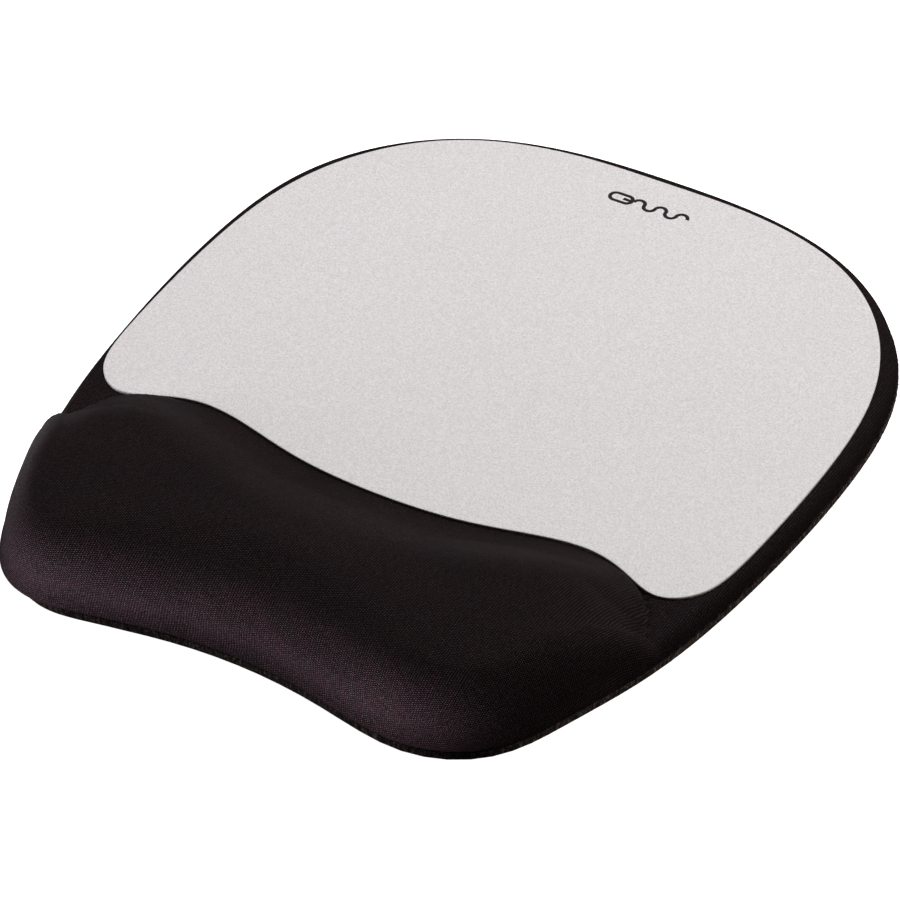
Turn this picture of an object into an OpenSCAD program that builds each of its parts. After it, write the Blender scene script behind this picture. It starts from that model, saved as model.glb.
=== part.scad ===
// Mouse pad with a raised memory-foam cushion for the wrist, built as a laminate: rubber base,
// foam sheet, cushion block, one knit cover over both, and a smooth sheet for the mouse.
// +X is the user's right, +Y points away from the user, +Z is up. The origin is on the desk,
// under the middle of the outline. All sizes are in millimetres.

/* [Outline] */
// Width across the widest part of the pad
pad_w = 201.6; // [190:0.1:212]
// Depth from the back edge to the front of the cushion's lobes
pad_d = 235; // [222:0.5:248]

/* [Layers] */
// Thickness of the rubber base
base_t = 1.6; // [1.2:0.1:2.4]
// Thickness of the foam sheet
pad_core_t = 4.7; // [3.5:0.1:6]
// Thickness of each adhesive film
film_t = 0.1; // [0.05:0.05:0.2]
// Thickness of the knit cover
cover_t = 0.8; // [0.5:0.1:1]
// Thickness of the sheet that the mouse runs on
surface_t = 0.6; // [0.4:0.1:1]

/* [Cushion] */
// Height of the cushion's crest above the desk
cushion_h = 25.4; // [22:0.2:30]
// How far the cushion's wall leans in from the flange to its shoulder
cushion_round = 11; // [8:0.5:12]
// How far the cushion's wall swells out past the flange
cushion_bulge = 2.5; // [1:0.1:3]
// Height of the widest level above the foot of the wall
bulge_height = 3.5; // [2.5:0.1:4]
// Distance over which the cushion rises at mid width
ramp_mid = 40; // [30:1:42]
// Distance over which the cushion rises at its two lobes
ramp_end = 34; // [26:1:38]

/* [Edges] */
// Width of the cut flange where the cover meets the base
flange_w = 0.5; // [0.3:0.1:1]
// How far the pad's edge leans in from the flange to its top
pad_round = 3; // [2.5:0.5:4]

/* [Grip] */
// Distance between the grooves in the underside
groove_pitch = 6; // [4:0.5:10]
// Width of one groove
groove_w = 1.5; // [0.8:0.1:2]
// Depth of one groove
groove_depth = 0.4; // [0.2:0.05:0.6]

/* [Mark] */
// Length of the mouse in the printed pictogram
mouse_l = 8; // [6:0.5:10]
// Width of the mouse in the printed pictogram
mouse_w = 4.6; // [4:0.1:5]
// Half waves in its cord
waves = 5; // [1:1:7]
// Width of the printed lines
mark_line = 1.1; // [0.6:0.1:1.2]

/* [Hidden] */

// Heights of the layers
base_top = base_t;
core_floor = base_top + film_t;
core_top = core_floor + pad_core_t;
pad_top = core_top + cover_t;
surface_floor = pad_top + film_t;
surface_top = surface_floor + surface_t;
cushion_floor = core_top + film_t;
ink_t = 0.15;
// Room between the foam and the inside of the cover
gap = 0.05;
// Middle of the printed pictogram, and the size of one half wave of its cord
mark_x = 1;
mark_y = 99.8;
wave_r = 1.7;

// Right half of the pad's outline, from the back centre to the front centre: the control
// points of a closed cubic B-spline. They are drawn at the nominal size.
pad_half = [[0, 118], [30, 117.5], [59, 110], [83, 92], [97.5, 66], [101, 36], [100.5, 4],
            [98, -24], [95, -46], [90, -67], [81.5, -88], [74, -108.5], [52, -119.5],
            [26, -112.5], [0, -110]];
// The same for the sheet that the mouse runs on
surface_half = [[0, 112.5], [28, 113], [58, 106], [80.5, 87.5], [94, 60], [97, 30],
                [96.5, 0], [95, -24], [92.5, -37], [82.5, -45], [73, -40], [61, -35],
                [46, -37], [25, -43.5], [0, -45]];
// Points drawn on each span of a spline
spline_steps = 4;

// Back edge of the cushion: it lies furthest forward at the centre, swells back to the lobes,
// and turns a rounded corner into the cushion's sides, which flare out towards the front
back_mid_y = -44.9;
back_swell = 8.3;
back_lobe_x = 57;
side_x = 87.5;
side_flare = 0.45;
flare_start = 20;
corner_power = 2.5;
// Powers that shape the foot of the ramp: hollow at mid width, steep round the rear corners
soft_start = 1.35;
steep_start = 0.8;
steep_from_x = 48;
steep_width = 26;

// The flat top of the cushion, a long ellipse
crest_y = -92;
crest_rx = 50;
crest_ry = 5;

function mirrored(half) =
    concat(half, [for (i = [len(half) - 2 : -1 : 1]) [-half[i].x, half[i].y]]);

function b_spline(a, b, c, d, t) =
    (pow(1 - t, 3) * a + (3 * t * t * t - 6 * t * t + 4) * b
     + (-3 * t * t * t + 3 * t * t + 3 * t + 1) * c + t * t * t * d) / 6;

function smooth(control) =
    let (n = len(control))
    [for (i = [0 : n - 1], s = [0 : spline_steps - 1])
        b_spline(control[(i + n - 1) % n], control[i], control[(i + 1) % n],
                 control[(i + 2) % n], s / spline_steps)];

pad_drawn = smooth(mirrored(pad_half));
surface_drawn = smooth(mirrored(surface_half));
count = len(pad_drawn);
half_count = count / 2;

// Drawn points are moved and scaled so that the pad, with the cushion's overhang in front of
// its base, gets the exact width and depth
drawn_back = max([for (p = pad_drawn) p.y]);
drawn_front = min([for (p = pad_drawn) p.y]) - (cushion_bulge - flange_w);
scale_x = pad_w / 2 / max([for (p = pad_drawn) p.x]);
scale_y = pad_d / (drawn_back - drawn_front);
function sized(p) = [p.x * scale_x, (p.y - (drawn_back + drawn_front) / 2) * scale_y];

function ease(t) = let (u = min(max(t, 0), 1)) u * u * (3 - 2 * u);
function mix(a, b, t) = a + (b - a) * t;

// Height of the cover's top at a drawn point: the pad's level behind the back edge, and a
// rounded ramp up to the crest in front of it. climb is 0 at the back edge and 1 where the
// cushion levels out; round the corners its contours are superellipses.
function back_edge(x) =
    back_mid_y + back_swell * (1 - cos(180 * pow(min(abs(x) / back_lobe_x, 1), 1.6))) / 2;
function ramp(p) = mix(ramp_mid, ramp_end, ease((abs(p.x) - 20) / 45));
function flared_x(p) = side_x + side_flare * max(back_edge(p.x) - flare_start - p.y, 0);
function past_back(p) = max(1 - (back_edge(p.x) - p.y) / ramp(p), 0);
function past_side(p) = max(1 - (flared_x(p) - abs(p.x)) / ramp_end, 0);
function climb(p) =
    1 - pow(pow(past_back(p), corner_power) + pow(past_side(p), corner_power), 1 / corner_power);
function start_power(x) = mix(soft_start, steep_start, ease((abs(x) - steep_from_x) / steep_width));
function rise(p) = pow(sin(90 * min(max(climb(p), 0), 1)), start_power(p.x));
function top_z(p) = mix(pad_top, cushion_h, rise(p));

// Outline moved inwards along its own normals
function inward(i) =
    let (d = pad_drawn[(i + 1) % count] - pad_drawn[(i + count - 1) % count])
    [d.y, -d.x] / norm(d);
function inset(i, d) = pad_drawn[i] + inward(i) * d;

// Shape of the wall at each outline point, from the pad's low edge to the cushion's: how far it
// leans in, how far it swells out past the flange, and how high its widest level is
wall_rise = [for (i = [0 : count - 1]) rise(inset(i, 8))];
lean = [for (r = wall_rise) mix(pad_round, cushion_round, r)];
swell = [for (r = wall_rise) cushion_bulge * r];
swell_z = [for (r = wall_rise) bulge_height * r];
shoulder = [for (i = [0 : count - 1]) inset(i, flange_w + lean[i])];

// Each outline point has a way in to the crest: first to the cushion's back edge, then up the
// ramp. The points in front of the cushion's rear corners are on the cushion already.
corner_index = 34;
back_end_x = 86;
function from_back(i) = min(i, count - i);
function side(i) = i <= half_count ? 1 : -1;
function corner_fall(x) =
    let (past = max(1 - (side_x - x) / ramp_end, 0))
    ramp_end * (1 - pow(1 - pow(past, corner_power), 1 / corner_power));
function back_point(i) =
    let (x = back_end_x * from_back(i) / corner_index)
    [side(i) * x, back_edge(x) - corner_fall(x)];
function crest_angle(k) =
    k <= corner_index ? 90 * (1 - k / corner_index)
                      : -90 * pow((k - corner_index) / (half_count - corner_index), 1.8);
function crest_point(i) =
    let (a = crest_angle(from_back(i)))
    [side(i) * crest_rx * cos(a), crest_y + crest_ry * sin(a)];
function ramp_foot(i) =
    from_back(i) <= corner_index ? back_point(i) : mix(shoulder[i], crest_point(i), 0.1);

wall_stops = [for (k = [0 : 8]) k / 8];
ramp_stops = [for (k = [0 : 8]) pow(k / 8, 1.2)];

function lifted(p, z) = let (q = sized(p)) [q.x, q.y, z];

// A point on the wall at outline point i. The wall is a quarter ellipse from its widest level up
// to the shoulder, and curls in below that level to the foot. It can be moved inwards and down
// by drop.
function foot_angle(i, drop) = acos((lean[i] - drop) / (lean[i] - drop + swell[i]));
function wall_point(i, stop, floor_z, drop) =
    let (foot = foot_angle(i, drop),
         a = mix(-foot, 90, stop),
         reach = lean[i] - drop + swell[i],
         widest_z = floor_z + swell_z[i],
         z = a > 0 ? mix(widest_z, top_z(shoulder[i]) - drop, sin(a))
                   : mix(widest_z, floor_z, foot > 0 ? -sin(a) / sin(foot) : 0))
    lifted(inset(i, flange_w + lean[i] - reach * cos(a)), z);
function wall_ring(stop, floor_z, drop) =
    [for (i = [0 : count - 1]) wall_point(i, stop, floor_z, drop)];
function ramp_ring(stop, drop) = [for (i = [0 : count - 1])
    let (p = mix(ramp_foot(i), crest_point(i), stop)) lifted(p, top_z(p) - drop)];
function skin(floor_z, drop) = concat(
    [for (s = wall_stops) wall_ring(s, floor_z, drop)],
    [for (s = ramp_stops) ramp_ring(s, drop)]);
function flat_ring(d, z) = [for (i = [0 : count - 1]) lifted(inset(i, d), z)];

// Closed solid through rings of count points each. The first ring is closed by a face that
// looks down and the last by one that looks up.
module ring_solid(rings) {
    n = len(rings);
    polyhedron(
        points = [for (r = rings, p = r) p],
        faces = concat(
            [[for (i = [count - 1 : -1 : 0]) i]],
            [for (r = [0 : n - 2], i = [0 : count - 1])
                let (j = (i + 1) % count, a = r * count, b = a + count)
                each [[a + i, a + j, b + j], [a + i, b + j, b + i]]],
            [[for (i = [0 : count - 1]) (n - 1) * count + i]]));
}

module sheet(drawn, floor_z, t) {
    translate([0, 0, floor_z])
        linear_extrude(t) polygon([for (p = drawn) sized(p)]);
}

// Shallow grooves across the underside, closed at both ends
groove_border = 10;
groove_front_y = -102;
groove_back_y = 108;
lobe_index = 48;
side_table = [for (i = [lobe_index : -1 : 0]) let (q = sized(pad_drawn[i])) [q.y, q.x]];
module grooves() {
    first = ceil(groove_front_y / groove_pitch);
    last = floor(groove_back_y / groove_pitch);
    for (k = [first : last]) {
        y = (k + 0.5) * groove_pitch;
        half_w = lookup(y, side_table) - groove_border;
        translate([-half_w, y - groove_w / 2, -1])
            cube([2 * half_w, groove_w, 1 + groove_depth]);
    }
}

module non_slip_base() {
    color("#1b1b1c") difference() {
        sheet(pad_drawn, 0, base_t);
        grooves();
    }
}

// A level slice of the room inside the cover, from height floor_z up
module inside_slice(floor_z, t) {
    intersection() {
        ring_solid(skin(base_top, cover_t + gap));
        translate([-pad_w, -pad_d, floor_z]) cube([2 * pad_w, 2 * pad_d, t]);
    }
}

module pad_bond_film() {
    color("#d8cfa8") inside_slice(base_top, film_t);
}

// Firm foam sheet, with its top edge rounded to fit under the cover
module pad_core() {
    color("#3a3d42") inside_slice(core_floor, pad_core_t);
}

module cushion_bond_film() {
    color("#d8cfa8") inside_slice(core_top, film_t);
}

// Memory foam: all the room that is left above the foam sheet
module cushion_core() {
    color("#e6dcb4") inside_slice(cushion_floor, cushion_h);
}

// One sheet of knit: its inside from the crest out to the foot of the wall, its cut edge on the
// base, and its outside back up to the crest
module fabric_cover() {
    inside = skin(base_top, cover_t);
    edge_top = base_top + cover_t;
    color("#262021") ring_solid(concat(
        [for (r = [len(inside) - 1 : -1 : 0]) inside[r]],
        [flat_ring(0, base_top), flat_ring(0, edge_top)],
        skin(edge_top, 0)));
}

module surface_bond_film() {
    color("#d8cfa8") sheet(surface_drawn, pad_top, film_t);
}

// Generic pictogram: a mouse seen from above, with a wavy cord running off to its right
mark_l = mouse_l + 2 * wave_r * waves;
module stadium(l, w) {
    square([l - w, w], center = true);
    for (s = [-1, 1])
        translate([s * (l - w) / 2, 0]) circle(d = w, $fn = 48);
}
module half_wave(up) {
    intersection() {
        difference() {
            circle(r = wave_r + mark_line / 2, $fn = 48);
            circle(r = wave_r - mark_line / 2, $fn = 48);
        }
        translate([-2 * wave_r, up ? 0 : -2 * wave_r]) square([4 * wave_r, 2 * wave_r]);
    }
}
module mouse_outline() {
    difference() {
        stadium(mouse_l, mouse_w);
        stadium(mouse_l - 2 * mark_line, mouse_w - 2 * mark_line);
    }
    translate([mouse_l / 4, 0]) square([mouse_l / 3, mark_line], center = true);
}
module mark_shape() {
    translate([(mouse_l - mark_l) / 2, 0]) mouse_outline();
    for (k = [0 : waves - 1])
        translate([mouse_l - mark_l / 2 + (2 * k + 1) * wave_r, 0]) half_wave(k % 2 == 0);
}
module mark_block(floor_z, t) {
    translate([mark_x, mark_y, floor_z]) linear_extrude(t) mark_shape();
}

module tracking_surface() {
    color("#d9d5d4") difference() {
        sheet(surface_drawn, surface_floor, surface_t);
        mark_block(surface_top - ink_t, 2 * ink_t);
    }
}

module printed_mark() {
    color("#2b2b2d") mark_block(surface_top - ink_t, ink_t);
}

non_slip_base();
pad_bond_film();
pad_core();
cushion_bond_film();
cushion_core();
fabric_cover();
surface_bond_film();
tracking_surface();
printed_mark();
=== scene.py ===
"""Looks of a mouse pad with a raised memory-foam cushion for the wrist.

The knit cover, the foams inside it, the silver sheet, the print and the cut edge are modelled here,
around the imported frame. Shapes are worked out in millimetres and turned into metres when a mesh
is made.
"""
import math

import bmesh
import bpy
import numpy as np
from mathutils import Matrix, Vector
from mathutils.geometry import delaunay_2d_cdt


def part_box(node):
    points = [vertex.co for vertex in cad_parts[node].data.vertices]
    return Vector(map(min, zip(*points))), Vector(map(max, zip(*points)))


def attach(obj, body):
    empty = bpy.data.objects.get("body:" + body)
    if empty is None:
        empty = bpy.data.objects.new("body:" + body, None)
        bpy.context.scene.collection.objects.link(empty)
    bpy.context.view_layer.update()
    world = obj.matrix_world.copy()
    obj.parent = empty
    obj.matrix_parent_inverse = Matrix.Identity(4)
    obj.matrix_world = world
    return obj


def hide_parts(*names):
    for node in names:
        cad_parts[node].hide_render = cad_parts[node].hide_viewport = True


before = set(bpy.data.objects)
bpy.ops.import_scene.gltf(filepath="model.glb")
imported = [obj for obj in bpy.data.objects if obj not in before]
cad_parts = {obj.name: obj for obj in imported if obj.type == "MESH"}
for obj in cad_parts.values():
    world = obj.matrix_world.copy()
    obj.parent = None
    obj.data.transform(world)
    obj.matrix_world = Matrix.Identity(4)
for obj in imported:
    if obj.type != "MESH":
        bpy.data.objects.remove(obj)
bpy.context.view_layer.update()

MM = 0.001
rng = np.random.default_rng(11)


def box_mm(node):
    low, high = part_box(node)
    return np.array(low) / MM, np.array(high) / MM


# Heights and sizes that the frame gives
BASE_TOP = box_mm("non_slip_base")[1][2]
PAD_TOP = box_mm("surface_bond_film")[0][2]
SHEET_FLOOR = box_mm("tracking_surface")[0][2]
SHEET_TOP = box_mm("tracking_surface")[1][2]
CUSHION_TOP = box_mm("fabric_cover")[1][2]
FILM_T = box_mm("surface_bond_film")[1][2] - PAD_TOP
COVER_T = PAD_TOP - box_mm("cushion_bond_film")[0][2]

# The cover's shape, as in the CAD model to within a few tenths of a millimetre
FLANGE_W = 0.5
PAD_ROUND = 3.0
CUSHION_ROUND = 11.0
CUSHION_BULGE = 2.5
BULGE_HEIGHT = 3.5
RAMP_MID = 40.0
RAMP_END = 34.0
RAMP_FROM_X = 20.0
RAMP_BLEND = 45.0
CREASE_MID_Y = -44.2
CREASE_SWELL = 8.3
CREASE_LOBE_X = 57.0
CREASE_CURVE = 1.6
SIDE_X = 87.5
SIDE_FLARE = 0.45
FLARE_START = 20.0
CORNER_POWER = 2.5
SOFT_START = 1.35
STEEP_START = 0.8
STEEP_FROM_X = 48.0
STEEP_BLEND = 26.0
# How far inside the outline the wall reads the cushion's height
WALL_PROBE = 8.0

# The left lobe has slumped forwards: places on the outline, widths and how far the wall moves out
LEFT_SLUMP = (((-63, -111), 12, 2.4), ((-84, -72), 12, 1.0))
# Its flange is splayed outwards too: place, width and distance
LEFT_SPLAY = ((-57, -116), 12, 1.7)

# The fold at the cushion's back corners: where it is across the pad, and its roll, hump and
# groove, each with its size, its distance up the ramp and its width
FOLD_X = 80.0
FOLD_WIDTH = 9.0
ROLL = (1.1, 2.0, 1.3)
HUMP = (0.5, 6.0, 3.2)
GROOVE = (1.1, 0.1, 0.7)

# Cloth simulation of the knit over the cushion
SIM_FRAMES = 20
SHRINK = 1.2
MOST_MOVE = 1.5
HELD_BELOW = 4.0
HELD_FADE = 5.0
LOOSE_RISE = 0.4

# Mesh detail
FINER = 4
WALL_RINGS = 22
COLUMN_STEP = 1.7
LAST_COLUMN_X = 96.0
LAST_FALL_X = 85.0
ROWS = ((-170, -5, 4.0), (-5, 9, 0.6), (9, 90, 1.5))
EDGE_CLEAR = 0.8


# ---------------------------------------------------------------- outlines and the cover's shape

def node_outline(node, z):
    """Points of a flat CAD node's outline at height z, clockwise from the back centre."""
    verts = np.array([v.co[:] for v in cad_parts[node].data.vertices]) / MM
    level = verts[np.abs(verts[:, 2] - z) < 0.01][:, :2]
    level = np.unique(level.round(3), axis=0)
    middle = (level.max(0) + level.min(0)) / 2
    turn = np.arctan2(level[:, 0] - middle[0], level[:, 1] - middle[1]) % (2 * math.pi)
    return level[np.argsort(turn)]


def finer(points, times):
    """Closed Catmull-Rom curve through the points, with times as many of them."""
    before, after, beyond = (np.roll(points, -k, axis=0) for k in (-1, 1, 2))
    steps = []
    for t in np.arange(times) / times:
        steps.append(0.5 * (2 * points + (after - before) * t
                            + (2 * before - 5 * points + 4 * after - beyond) * t ** 2
                            + (3 * points - before - 3 * after + beyond) * t ** 3))
    return np.stack(steps, axis=1).reshape(-1, 2)


def inward_normals(outline):
    along = np.roll(outline, -1, axis=0) - np.roll(outline, 1, axis=0)
    inward = np.stack([along[:, 1], -along[:, 0]], axis=1)
    return inward / np.linalg.norm(inward, axis=1)[:, None]


def inside(points, ring):
    """Which points lie inside a closed ring."""
    x, y = points[:, :1], points[:, 1:]
    ax, ay = ring.T
    bx, by = np.roll(ring, -1, axis=0).T
    crosses = (ay > y) != (by > y)
    at_x = ax + (y - ay) * (bx - ax) / np.where(by == ay, 1e-9, by - ay)
    return (crosses & (x < at_x)).sum(1) % 2 == 1


def ease(t):
    t = np.clip(t, 0, 1)
    return t * t * (3 - 2 * t)


def mix(a, b, t):
    return a + (b - a) * t


def back_edge(x):
    """Where the back edge of the cushion lies, apart from its rounded corners."""
    across = np.minimum(np.abs(x) / CREASE_LOBE_X, 1)
    return CREASE_MID_Y + CREASE_SWELL * (1 - np.cos(math.pi * across ** CREASE_CURVE)) / 2


def corner_fall(side):
    """How far the back edge falls, in parts of the ramp, as it turns the corner."""
    return 1 - (1 - np.clip(side, 0, 1) ** CORNER_POWER) ** (1 / CORNER_POWER)


def climb(x, y):
    """How far up the cushion's ramp a point is: 0 at its back edge, 1 where it levels out."""
    ramp = mix(RAMP_MID, RAMP_END, ease((np.abs(x) - RAMP_FROM_X) / RAMP_BLEND))
    back = np.clip(1 - (back_edge(x) - y) / ramp, 0, None)
    wide = SIDE_X + SIDE_FLARE * np.clip(back_edge(x) - FLARE_START - y, 0, None)
    side = np.clip(1 - (wide - np.abs(x)) / RAMP_END, 0, None)
    return 1 - (back ** CORNER_POWER + side ** CORNER_POWER) ** (1 / CORNER_POWER)


def rise(x, y):
    """Height on the cushion, 0 to 1. It starts softly at mid width and steeply at the corners."""
    start = mix(SOFT_START, STEEP_START, ease((np.abs(x) - STEEP_FROM_X) / STEEP_BLEND))
    return np.sin(math.pi / 2 * np.clip(climb(x, y), 0, 1)) ** start


def bell(value, middle, width):
    return np.exp(-((value - middle) / width) ** 2)


def cover_top(x, y):
    return mix(PAD_TOP, CUSHION_TOP, rise(x, y))


def pinch(cover):
    """How the knit rolls over the foot of the cushion's back corners, into a sharp fold."""
    x, y = cover.skin(BASE_TOP + COVER_T, 0.0)[:, :2].T
    near = 0.1
    up_ramp = np.stack([climb(x + near, y) - climb(x - near, y),
                        climb(x, y + near) - climb(x, y - near)])
    out = -up_ramp / np.maximum(np.linalg.norm(up_ramp, axis=0), 1e-9)
    away = RAMP_END * climb(x, y)
    corner = bell(np.abs(x), FOLD_X, FOLD_WIDTH)
    roll, hump, groove = (size * bell(away, middle, width) for size, middle, width
                          in (ROLL, HUMP, GROOVE))
    roll = roll * corner
    lift = corner * (hump - groove)
    return np.column_stack([out[0] * roll, out[1] * roll, lift])


class Cover:
    """Points and faces of the knit cover's outside and inside."""

    def __init__(self):
        self.base_outline = finer(node_outline("non_slip_base", BASE_TOP), FINER)
        place, width, amount = LEFT_SPLAY
        splay = amount * bell(np.linalg.norm(self.base_outline - place, axis=1), 0, width)
        self.outline = self.base_outline - inward_normals(self.base_outline) * splay[:, None]
        self.inward = inward_normals(self.outline)
        self.count = len(self.outline)
        lifted = rise(*self.at(WALL_PROBE).T)
        self.lean = mix(PAD_ROUND, CUSHION_ROUND, lifted)
        self.swell = CUSHION_BULGE * lifted + sum(
            amount * bell(np.linalg.norm(self.outline - middle, axis=1), 0, width)
            for middle, width, amount in LEFT_SLUMP)
        self.swell_z = BULGE_HEIGHT * lifted
        self.shoulder = self.at(FLANGE_W + self.lean)
        self.roof = cover_top(*self.shoulder.T)
        self.plan, self.top_faces = self.fill_top()
        self.moved = 0.0

    def at(self, inset):
        return self.outline + self.inward * np.broadcast_to(inset, self.count)[:, None]

    def wall(self, stop, floor_z, drop):
        """A ring of the wall, moved inwards and down by drop."""
        lean = self.lean - drop
        reach = lean + self.swell
        foot = np.arccos(np.clip(lean / reach, -1, 1))
        angle = mix(-foot, math.pi / 2, stop)
        widest = floor_z + self.swell_z
        below = np.divide(np.sin(-angle), np.sin(foot), out=np.zeros(self.count),
                          where=foot > 1e-6)
        z = np.where(angle > 0, mix(widest, self.roof - drop, np.sin(angle)),
                     mix(widest, floor_z, below))
        plan = self.at(FLANGE_W + self.lean - reach * np.cos(angle))
        return np.column_stack([plan, z])

    def inner_plan_points(self):
        """Rows of points that follow the cushion's back edge, well inside the shoulder."""
        half = COLUMN_STEP * math.floor(LAST_COLUMN_X / COLUMN_STEP)
        x = np.arange(-half, half + 0.1, COLUMN_STEP)
        away = np.concatenate([np.arange(*row) for row in ROWS])
        in_from_side = SIDE_X - np.minimum(np.abs(x), LAST_FALL_X)
        fall = RAMP_END * corner_fall(1 - in_from_side / RAMP_END)
        grid_x = np.repeat(x[:, None], len(away), axis=1)
        grid_y = (back_edge(x) - fall)[:, None] - away[None, :]
        points = np.stack([grid_x, grid_y], axis=-1).reshape(-1, 2)
        return points[inside(points, self.at(FLANGE_W + self.lean + EDGE_CLEAR))]

    def fill_top(self):
        """Triangles between the shoulder and the points inside it."""
        points = np.concatenate([self.shoulder, self.inner_plan_points()])
        ring = list(range(self.count))
        made = delaunay_2d_cdt([Vector(p) for p in points], [], [ring], 1, 1e-5)
        faces, sources = made[2], made[3]
        given = np.array([source[0] for source in sources])
        assert sorted(given) == list(range(len(points)))
        return points, given[np.array(faces)]

    def skin(self, floor_z, drop):
        """Wall rings, foot first, followed by the points of the top."""
        rings = [self.wall(s, floor_z, drop) for s in np.linspace(0, 1, WALL_RINGS)]
        top = np.column_stack([self.plan, cover_top(*self.plan.T) - drop])[self.count:]
        return np.concatenate(rings + [top])

    def skin_faces(self):
        """Faces of a skin, anticlockwise from outside."""
        faces = ring_faces(WALL_RINGS, self.count)
        shift = (WALL_RINGS - 1) * self.count
        for a, b, c in self.top_faces:
            sides = self.plan[b] - self.plan[a], self.plan[c] - self.plan[a]
            turn = sides[0][0] * sides[1][1] - sides[0][1] * sides[1][0]
            faces.append((a + shift, b + shift, c + shift) if turn > 0
                         else (a + shift, c + shift, b + shift))
        return faces

    def flat_pattern(self, skin):
        """Where each point lies when the knit is laid out flat, so that its ribs follow the walls."""
        flat = skin[:, :2].copy()
        gone = np.zeros(self.count)
        rings = skin[:WALL_RINGS * self.count].reshape(WALL_RINGS, self.count, 3)
        for k in range(WALL_RINGS - 2, -1, -1):
            gone = gone + np.linalg.norm(rings[k] - rings[k + 1], axis=1)
            flat[k * self.count:(k + 1) * self.count] = self.shoulder - self.inward * gone[:, None]
        return flat


# ---------------------------------------------------------------- meshes

def ring_faces(rings, count):
    """Quads between rings of as many points each, clockwise seen from above, lowest first."""
    faces = []
    for r in range(rings - 1):
        a, b = r * count, (r + 1) * count
        for i in range(count):
            j = (i + 1) % count
            faces.append((a + j, a + i, b + i, b + j))
    return faces


def new_piece(name, points, faces, flat=None):
    """A smooth mesh from points in millimetres."""
    mesh = bpy.data.meshes.new(name)
    mesh.from_pydata((points * MM).tolist(), [], faces)
    mesh.update()
    if flat is not None:
        layer = mesh.uv_layers.new(name="flat_pattern")
        corners = np.empty(len(mesh.loops), dtype=np.int64)
        mesh.loops.foreach_get("vertex_index", corners)
        layer.data.foreach_set("uv", (flat[corners] * MM).astype(np.float32).ravel())
    mesh.shade_smooth()
    piece = bpy.data.objects.new(name, mesh)
    bpy.context.scene.collection.objects.link(piece)
    return piece


def ring_mesh(name, rings, capped=True):
    """A mesh through rings of as many points each, lowest first."""
    count = len(rings[0])
    faces = ring_faces(len(rings), count)
    if capped:
        last = (len(rings) - 1) * count
        faces.append(tuple(range(count)))
        faces.append(tuple(last + i for i in range(count - 1, -1, -1)))
    return new_piece(name, np.concatenate(rings), faces)


def add_piece(piece, slot, material, *nodes):
    """Gives a piece its material and rides it on the one body. The slot is not used."""
    piece.data.materials.clear()
    piece.data.materials.append(material)
    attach(piece, "root")
    if nodes:
        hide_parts(*nodes)
    return piece


def settle(cover):
    """How far each point of the knit moves when a cloth simulation lets it settle over the foam."""
    shape = cover.skin(BASE_TOP + COVER_T, 0.0)
    lifted = ease(rise(*shape[:, :2].T) / LOOSE_RISE)
    loose = ease((shape[:, 2] - HELD_BELOW) / HELD_FADE) * lifted
    trial = new_piece("knit_trial", shape, cover.skin_faces())
    normals = np.array([v.normal[:] for v in trial.data.vertices])
    start = shape - normals * (loose * SHRINK)[:, None]
    trial.data.vertices.foreach_set("co", (start * MM).astype(np.float32).ravel())
    held = trial.vertex_groups.new(name="held")
    for index, weight in enumerate(1 - loose):
        held.add([index], float(weight), "REPLACE")
    cloth = trial.modifiers.new("cloth", "CLOTH")
    cloth.settings.quality = 6
    cloth.settings.mass = 0.2
    cloth.settings.bending_stiffness = 0.2
    cloth.settings.vertex_group_mass = "held"
    cloth.settings.use_pressure = True
    cloth.settings.uniform_pressure_force = 4.0
    cloth.settings.effector_weights.gravity = 0.0
    cloth.collision_settings.use_collision = False
    scene = bpy.context.scene
    for number in range(1, SIM_FRAMES + 1):
        scene.frame_set(number)
    after = trial.evaluated_get(bpy.context.evaluated_depsgraph_get()).data
    ended = np.empty(len(after.vertices) * 3)
    after.vertices.foreach_get("co", ended)
    moved = ended.reshape(-1, 3) / MM - start
    length = np.linalg.norm(moved, axis=1)
    capped = moved * (np.minimum(length, MOST_MOVE) / np.maximum(length, 1e-6))[:, None]
    scene.frame_set(1)
    bpy.data.objects.remove(trial)
    return start + capped * loose[:, None] - shape


# ---------------------------------------------------------------- materials

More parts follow.
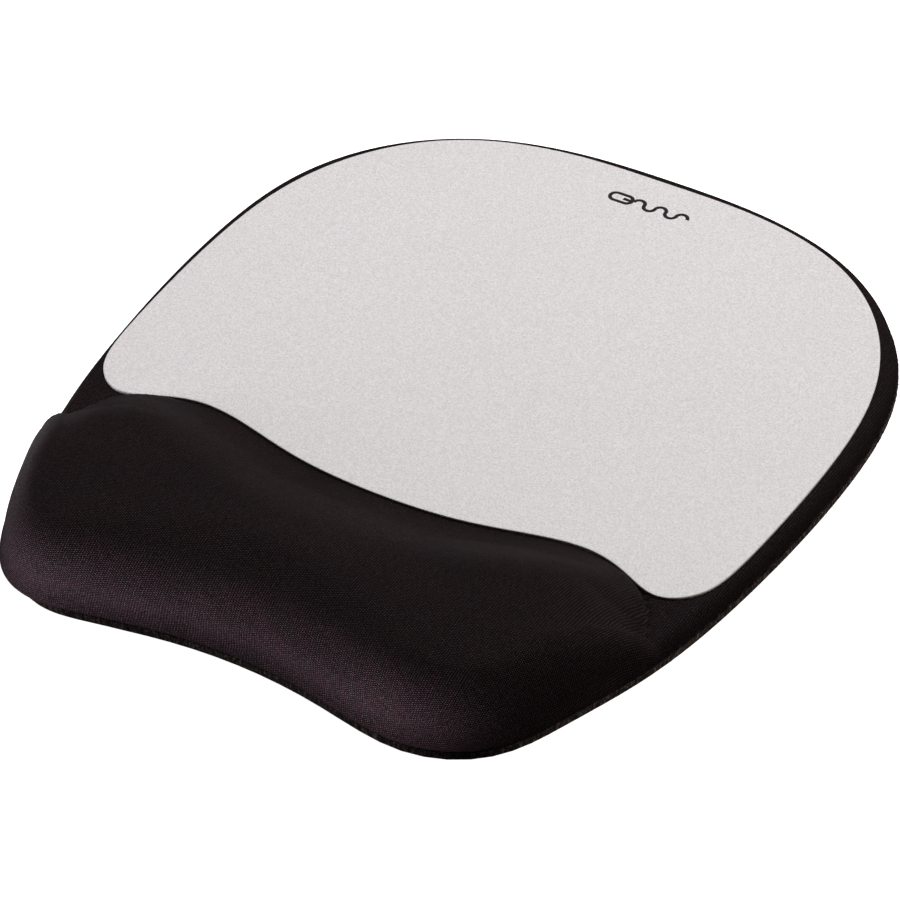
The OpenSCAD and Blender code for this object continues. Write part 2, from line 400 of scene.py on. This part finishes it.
class Nodes:
    """A short way to write a node material."""

    def __init__(self, name):
        self.material = bpy.data.materials.new(name)
        self.material.use_nodes = True
        self.tree = self.material.node_tree
        self.tree.nodes.clear()
        self.shader = self.tree.nodes.new("ShaderNodeBsdfPrincipled")
        out = self.tree.nodes.new("ShaderNodeOutputMaterial")
        self.tree.links.new(self.shader.outputs["BSDF"], out.inputs["Surface"])

    def put(self, socket, value):
        if isinstance(value, bpy.types.NodeSocket):
            self.tree.links.new(value, socket)
        else:
            socket.default_value = value

    def math(self, operation, a, b=0.0):
        node = self.tree.nodes.new("ShaderNodeMath")
        node.operation = operation
        self.put(node.inputs[0], a)
        self.put(node.inputs[1], b)
        return node.outputs[0]

    def coords(self, uv_name=None):
        if uv_name:
            node = self.tree.nodes.new("ShaderNodeUVMap")
            node.uv_map = uv_name
            return node.outputs["UV"]
        return self.tree.nodes.new("ShaderNodeTexCoord").outputs["Object"]

    def split(self, vector):
        node = self.tree.nodes.new("ShaderNodeSeparateXYZ")
        self.put(node.inputs[0], vector)
        return node.outputs

    def scaled(self, vector, scale):
        node = self.tree.nodes.new("ShaderNodeMapping")
        self.put(node.inputs["Vector"], vector)
        node.inputs["Scale"].default_value = scale
        return node.outputs[0]

    def noise(self, vector, scale, detail=2.0, rough=0.5):
        node = self.tree.nodes.new("ShaderNodeTexNoise")
        self.put(node.inputs["Vector"], vector)
        node.inputs["Scale"].default_value = scale
        node.inputs["Detail"].default_value = detail
        node.inputs["Roughness"].default_value = rough
        return node.outputs["Fac"]

    def cells(self, vector, scale):
        node = self.tree.nodes.new("ShaderNodeTexVoronoi")
        self.put(node.inputs["Vector"], vector)
        node.inputs["Scale"].default_value = scale
        return node.outputs["Distance"]

    def ramp(self, value, stops):
        node = self.tree.nodes.new("ShaderNodeValToRGB")
        self.put(node.inputs[0], value)
        ramp = node.color_ramp
        while len(ramp.elements) < len(stops):
            ramp.elements.new(0.5)
        for element, (place, colour) in zip(ramp.elements, stops):
            element.position = place
            element.color = (*colour, 1)
        return node.outputs["Color"]

    def blend(self, factor, a, b, mode="MIX"):
        node = self.tree.nodes.new("ShaderNodeMix")
        node.data_type = "RGBA"
        node.blend_type = mode
        self.put(node.inputs[0], factor)
        self.put(node.inputs[6], a)
        self.put(node.inputs[7], b)
        return node.outputs[2]

    def span(self, value, low, high):
        node = self.tree.nodes.new("ShaderNodeMapRange")
        self.put(node.inputs["Value"], value)
        node.inputs["To Min"].default_value = low
        node.inputs["To Max"].default_value = high
        return node.outputs[0]

    def bump(self, height, distance, strength=1.0):
        node = self.tree.nodes.new("ShaderNodeBump")
        self.put(node.inputs["Height"], height)
        node.inputs["Distance"].default_value = distance
        node.inputs["Strength"].default_value = strength
        self.tree.links.new(node.outputs[0], self.shader.inputs["Normal"])

    def finish(self, **sockets):
        for name, value in sockets.items():
            self.put(self.shader.inputs[name.replace("_", " ")], value)
        return self.material


def knit_material():
    """Fine black knit: ribs that run from front to back, crossed by rows of small stitches."""
    rib = 0.69 * MM
    row = 0.58 * MM
    waver = 0.45 * MM
    n = Nodes("black_knit")
    flat = n.coords("flat_pattern")
    x, y, _ = n.split(flat)
    x = n.math("ADD", x, n.math("MULTIPLY", n.noise(flat, 420.0, 2.0), waver))
    y = n.math("ADD", y, n.math("MULTIPLY", n.noise(flat, 470.0, 2.0), waver))
    across = n.math("COSINE", n.math("MULTIPLY", x, math.pi / rib))
    along = n.math("COSINE", n.math("MULTIPLY", y, 2 * math.pi / row))
    dots = n.math("MULTIPLY", n.math("ADD", n.math("MULTIPLY", across, along), 1.0), 0.5)
    ribs = n.math("MULTIPLY", across, across)
    stitch = n.math("ADD", n.math("MULTIPLY", dots, 0.7), n.math("MULTIPLY", ribs, 0.3))
    fuzz = n.noise(n.coords(), 2600.0, 2.0)
    patches = n.noise(n.coords(), 45.0, 3.0)
    height = n.math("ADD", stitch, n.math("MULTIPLY", fuzz, 0.35))
    # Painted shade and painted glints: the colour runs from near black in the gaps between stitches
    # to much lighter on the stitch tops, over the yarn's own dark brown-black.
    yarn_with_painted_shade_and_glint = n.ramp(stitch, [(0.1, (0.0015, 0.001, 0.001)), (0.55, (0.0095, 0.0062, 0.0066)),
                           (0.9, (0.048, 0.032, 0.0345))])
    tone = n.ramp(patches, [(0.3, (0.86, 0.86, 0.9)), (0.7, (1.1, 1.04, 1.04))])
    speckle = n.ramp(n.noise(n.coords(), 1900.0, 1.0), [(0.3, (0.5, 0.5, 0.5)),
                                                        (0.7, (1.5, 1.5, 1.5))])
    colour = n.blend(1.0, n.blend(1.0, yarn_with_painted_shade_and_glint, tone, "MULTIPLY"), speckle, "MULTIPLY")
    n.bump(height, 0.22 * MM, 1.0)
    return n.finish(Base_Color=colour, Roughness=n.span(fuzz, 0.55, 0.85),
                    Specular_IOR_Level=0.03, Sheen_Weight=0.012, Sheen_Roughness=0.4,
                    Sheen_Tint=(0.80, 0.72, 0.80, 1.0))


def sheet_material():
    """Silver film with a fine matt grain."""
    n = Nodes("silver_film")
    place = n.coords()
    grain = n.noise(place, 2600.0, 2.0, 0.6)
    pebbles = n.cells(place, 1300.0)
    clouds = n.noise(place, 14.0, 2.0)
    height = n.math("ADD", grain, n.math("MULTIPLY", pebbles, 0.6))
    fleck = n.ramp(grain, [(0.3, (0.62, 0.607, 0.61)), (0.7, (0.92, 0.90, 0.905))])
    tint = n.ramp(clouds, [(0.35, (1.0, 0.985, 0.985)), (0.65, (1.0, 1.0, 1.0))])
    n.bump(height, 0.05 * MM, 0.5)
    return n.finish(Base_Color=n.blend(1.0, fleck, tint, "MULTIPLY"), Metallic=0.05,
                    Roughness=n.span(grain, 0.5, 0.7), Specular_IOR_Level=0.3)


def ink_material():
    n = Nodes("printed_ink")
    wear = n.noise(n.coords(), 2500.0, 3.0)
    return n.finish(Base_Color=n.ramp(wear, [(0.3, (0.012, 0.012, 0.014)),
                                             (0.75, (0.03, 0.03, 0.033))]),
                    Roughness=n.span(wear, 0.6, 0.8), Specular_IOR_Level=0.08)


def rubber_material():
    n = Nodes("base_rubber")
    place = n.coords()
    dust = n.noise(place, 900.0, 4.0)
    n.bump(n.cells(place, 1600.0), 0.06 * MM, 0.5)
    return n.finish(Base_Color=n.ramp(dust, [(0.3, (0.010, 0.010, 0.010)),
                                             (0.8, (0.028, 0.027, 0.026))]),
                    Roughness=n.span(dust, 0.7, 0.95), Specular_IOR_Level=0.3)


def cut_edge_material():
    """Raw edge of the cut laminate: black rubber and knit with tan backing threads."""
    n = Nodes("cut_edge")
    place = n.scaled(n.coords(), (1.0, 1.0, 0.35))
    threads = n.noise(place, 1500.0, 4.0, 0.7)
    n.bump(threads, 0.2 * MM, 0.8)
    colour = n.ramp(threads, [(0.40, (0.014, 0.010, 0.010)), (0.54, (0.045, 0.034, 0.030)),
                              (0.66, (0.22, 0.17, 0.12))])
    return n.finish(Base_Color=colour, Roughness=0.9, Specular_IOR_Level=0.2)


def foam_material(name, dark, light, cell):
    n = Nodes(name)
    place = n.coords()
    pores = n.cells(place, 1.0 / (cell * MM))
    n.bump(pores, 0.3 * cell * MM, 0.7)
    # Painted shade in the pores: the colour is dark in the pore hollows and light towards their rims.
    return n.finish(Base_Color=n.ramp(pores, [(0.0, dark), (0.6, light)]), Roughness=0.85)


def film_material():
    n = Nodes("adhesive_film")
    smear = n.noise(n.coords(), 250.0, 3.0)
    return n.finish(Base_Color=n.ramp(smear, [(0.3, (0.60, 0.53, 0.34)),
                                              (0.7, (0.74, 0.68, 0.48))]),
                    Roughness=n.span(smear, 0.2, 0.45))


# ---------------------------------------------------------------- pieces

def make_cover(cover):
    """The knit: its outside, its thin cut edge round the foot, and its inside."""
    outside = cover.skin(BASE_TOP + COVER_T, 0.0)
    inside_skin = cover.skin(BASE_TOP, COVER_T)
    faces = cover.skin_faces()
    flat = cover.flat_pattern(outside)
    outside += cover.moved
    inside_skin += cover.moved
    edge_top = BASE_TOP + COVER_T
    bevel = 0.15
    rim = [np.column_stack([cover.at(d), np.full(cover.count, z)])
           for d, z in ((0.0, BASE_TOP), (0.0, edge_top - bevel), (bevel, edge_top))]
    skin_size = len(outside)
    points = np.concatenate([outside, inside_skin] + rim)
    faces += [tuple(skin_size + i for i in face[::-1]) for face in faces]
    ends = [skin_size] + [2 * skin_size + k * cover.count for k in range(len(rim))] + [0]
    for a, b in zip(ends, ends[1:]):
        for i in range(cover.count):
            j = (i + 1) % cover.count
            faces.append((a + j, a + i, b + i, b + j))
    flats = np.concatenate([flat, flat] + [flat[:cover.count]] * len(rim))
    piece = new_piece("knit_cover", points, faces, flats)
    add_piece(piece, "black_knit", knit_material(), "fabric_cover")
    return piece


def make_sheet():
    """The silver sheet, with its top edge rounded over."""
    outline = finer(node_outline("tracking_surface", SHEET_FLOOR), FINER)
    inward = inward_normals(outline)
    radius = 0.3
    flat_from = 1.2
    profile = [(0.0, SHEET_FLOOR), (0.0, SHEET_TOP - radius)]
    for turn in np.radians([15, 30, 45, 60, 75, 90]):
        profile.append((radius * (1 - math.cos(turn)), SHEET_TOP - radius * (1 - math.sin(turn))))
    profile.append((flat_from, SHEET_TOP))
    rings = [np.column_stack([outline + inward * d, np.full(len(outline), z)])
             for d, z in profile]
    piece = ring_mesh("silver_sheet", rings)
    return add_piece(piece, "silver_sheet", sheet_material(), "tracking_surface")


def make_print():
    """The printed pictogram stands a hair proud of the sheet."""
    proud = 0.02 * MM
    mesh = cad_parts["printed_mark"].data.copy()
    mesh.transform(Matrix.Translation((0, 0, proud)))
    piece = bpy.data.objects.new("printed_pictogram", mesh)
    bpy.context.scene.collection.objects.link(piece)
    return add_piece(piece, "dark_ink", ink_material(), "printed_mark")


def make_cut_edge(cover):
    """The raw, slightly uneven edge where the base and the cover's flange are cut together."""
    outline = finer(cover.outline, FINER)
    base_outline = finer(cover.base_outline, FINER)
    inward = inward_normals(outline)
    count = len(outline)
    turn = np.arange(count) / count * 2 * math.pi
    clear_below, clear_above, tuck, band_depth = 0.08, 0.12, 0.05, 0.25
    levels, wave_count = 9, 24
    fewest, most = 150, 900
    last_phase = 6.28
    smallest, largest = 0.01, 0.03
    mean_proud, fray, twist = 0.10, 0.04, 1.7
    heights = np.linspace(clear_below, BASE_TOP + COVER_T - clear_above, levels)
    waves = [(rng.integers(fewest, most), rng.uniform(0, last_phase),
              rng.uniform(smallest, largest)) for _ in range(wave_count)]
    rings = []
    for z in heights:
        uneven = sum(size * np.sin(turn * number + phase + twist * z * (number % 5))
                     for number, phase, size in waves)
        proud = mean_proud + uneven + fray * rng.standard_normal(count)
        if z in (heights[0], heights[-1]):
            proud = np.full(count, -tuck)
        rings.append(np.column_stack([outline - inward * proud[:, None], np.full(count, z)]))
    inner = [np.column_stack([base_outline + inward * band_depth, np.full(count, z)])
             for z in (heights[-1], heights[0])]
    piece = ring_mesh("cut_edge", rings + inner + [rings[0]], capped=False)
    weld = bmesh.new()
    weld.from_mesh(piece.data)
    bmesh.ops.remove_doubles(weld, verts=weld.verts, dist=1e-7)
    weld.to_mesh(piece.data)
    weld.free()
    return add_piece(piece, "base_rubber", cut_edge_material())


def make_core(cover, name, slot, material, low_z, high_z, *nodes):
    """A layer of foam or film that fills the knit from low_z to high_z."""
    skin = cover.skin(BASE_TOP + FILM_T, COVER_T + FILM_T)
    skin += cover.moved
    floor_ring = tuple(range(cover.count))
    piece = new_piece(name, skin, cover.skin_faces() + [floor_ring])
    mesh = bmesh.new()
    mesh.from_mesh(piece.data)
    for level, up in ((low_z, -1), (high_z, 1)):
        everything = mesh.verts[:] + mesh.edges[:] + mesh.faces[:]
        cut = bmesh.ops.bisect_plane(mesh, geom=everything, plane_co=(0, 0, level * MM),
                                     plane_no=(0, 0, up), clear_outer=True)
        edges = [e for e in cut["geom_cut"] if isinstance(e, bmesh.types.BMEdge)]
        if edges:
            bmesh.ops.holes_fill(mesh, edges=edges, sides=0)
    mesh.to_mesh(piece.data)
    mesh.free()
    return add_piece(piece, slot, material, *nodes)


def make_cores(cover, film):
    """Both foams and the film between them, cut from the same skin so that they meet."""
    firm = foam_material("firm_foam", (0.03, 0.032, 0.036), (0.06, 0.063, 0.07), 0.5)
    soft = foam_material("memory_foam", (0.62, 0.53, 0.30), (0.82, 0.75, 0.50), 0.8)
    pad_low, pad_high = box_mm("pad_core")
    make_core(cover, "firm_foam_sheet", "firm_foam", firm, pad_low[2], pad_high[2], "pad_core")
    cushion_low = box_mm("cushion_core")[0]
    cushion = make_core(cover, "memory_foam_cushion", "memory_foam", soft, cushion_low[2],
                        CUSHION_TOP, "cushion_core")
    film_low, film_high = box_mm("cushion_bond_film")
    make_core(cover, "cushion_film", "adhesive", film, film_low[2], film_high[2],
              "cushion_bond_film")


def dress_hidden_nodes(film):
    """The base and two of the films keep their CAD shapes and get their own materials."""
    looks = {"non_slip_base": rubber_material(), "pad_bond_film": film, "surface_bond_film": film}
    for node, material in looks.items():
        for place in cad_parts[node].material_slots:
            place.material = material


# ---------------------------------------------------------------- stage, lights and camera

def make_floor():
    """A white floor that glows, so that it stays white, but doesn't light the object."""
    mesh = bpy.data.meshes.new("floor")
    half = 3.0
    corners = [(-half, -half, 0), (half, -half, 0), (half, half, 0), (-half, half, 0)]
    mesh.from_pydata(corners, [], [(0, 1, 2, 3)])
    floor = bpy.data.objects.new("floor", mesh)
    bpy.context.scene.collection.objects.link(floor)
    n = Nodes("pale_floor")
    mesh.materials.append(n.finish(Base_Color=(0.93, 0.93, 0.93, 1.0), Roughness=0.9,
                                   Emission_Color=(1.0, 1.0, 1.0, 1.0), Emission_Strength=0.98))
    floor.visible_diffuse = False
    floor.visible_glossy = False


def add_light(name, azimuth, elevation, distance, size, power, colour):
    """A square soft light that looks at the object from a compass direction, 0 being the front."""
    data = bpy.data.lights.new(name, "AREA")
    data.size = size
    data.energy = power
    data.color = colour
    lamp = bpy.data.objects.new(name, data)
    a, e = math.radians(azimuth), math.radians(elevation)
    away = Vector((math.sin(a) * math.cos(e), -math.cos(a) * math.cos(e), math.sin(e)))
    lamp.location = away * distance
    lamp.rotation_euler = (-away).to_track_quat("-Z", "Y").to_euler()
    bpy.context.scene.collection.objects.link(lamp)


def add_panel(name, place, width, depth, power, colour):
    """A soft light that lies at a place and shines straight up, as a white card would."""
    data = bpy.data.lights.new(name, "AREA")
    data.shape = "RECTANGLE"
    data.size = width
    data.size_y = depth
    data.energy = power
    data.color = colour
    lamp = bpy.data.objects.new(name, data)
    lamp.location = place
    lamp.rotation_euler = (math.pi, 0, 0)
    lamp.visible_camera = False
    bpy.context.scene.collection.objects.link(lamp)


def make_lights():
    world = bpy.data.worlds.new("studio")
    world.use_nodes = True
    background = world.node_tree.nodes["Background"]
    background.inputs["Color"].default_value = (1.0, 1.0, 1.0, 1.0)
    background.inputs["Strength"].default_value = 0.02
    bpy.context.scene.world = world
    add_light("overhead", 205, 57, 1.6, 1.0, 21, (1.0, 0.98, 0.985))
    add_light("back_right", 122, 22, 1.3, 0.7, 7.5, (1.0, 0.95, 0.92))
    add_light("low_front_left", -48, 4, 0.6, 0.25, 1.5, (0.95, 0.92, 1.0))
    add_panel("left_bounce", (-0.13, -0.09, 0.002), 0.05, 0.12, 0.07, (0.95, 0.90, 0.97))
    add_panel("front_bounce", (-0.03, -0.157, 0.002), 0.22, 0.06, 0.5, (0.96, 0.86, 1.0))


def make_camera():
    data = bpy.data.cameras.new("camera")
    data.sensor_width = 36.0
    data.lens = 167.3
    camera = bpy.data.objects.new("camera", data)
    a, e, roll = math.radians(31.71), math.radians(39.91), math.radians(-1.1)
    distance = 1.0965
    back = Vector((math.sin(a) * math.cos(e), -math.cos(a) * math.cos(e), math.sin(e)))
    aim = Vector((7.7, -19.4, SHEET_TOP)) * MM
    turn = (-back).to_track_quat("-Z", "Y").to_matrix() @ Matrix.Rotation(roll, 3, "Z")
    camera.matrix_world = Matrix.Translation(aim + back * distance) @ turn.to_4x4()
    bpy.context.scene.collection.objects.link(camera)
    bpy.context.scene.camera = camera


make_camera()
make_floor()
make_lights()
bpy.context.scene.view_settings.view_transform = "Standard"
shape = Cover()
shape.moved = settle(shape) + pinch(shape)
make_cover(shape)
bond_film = film_material()
make_cores(shape, bond_film)
make_sheet()
make_print()
make_cut_edge(shape)
dress_hidden_nodes(bond_film)
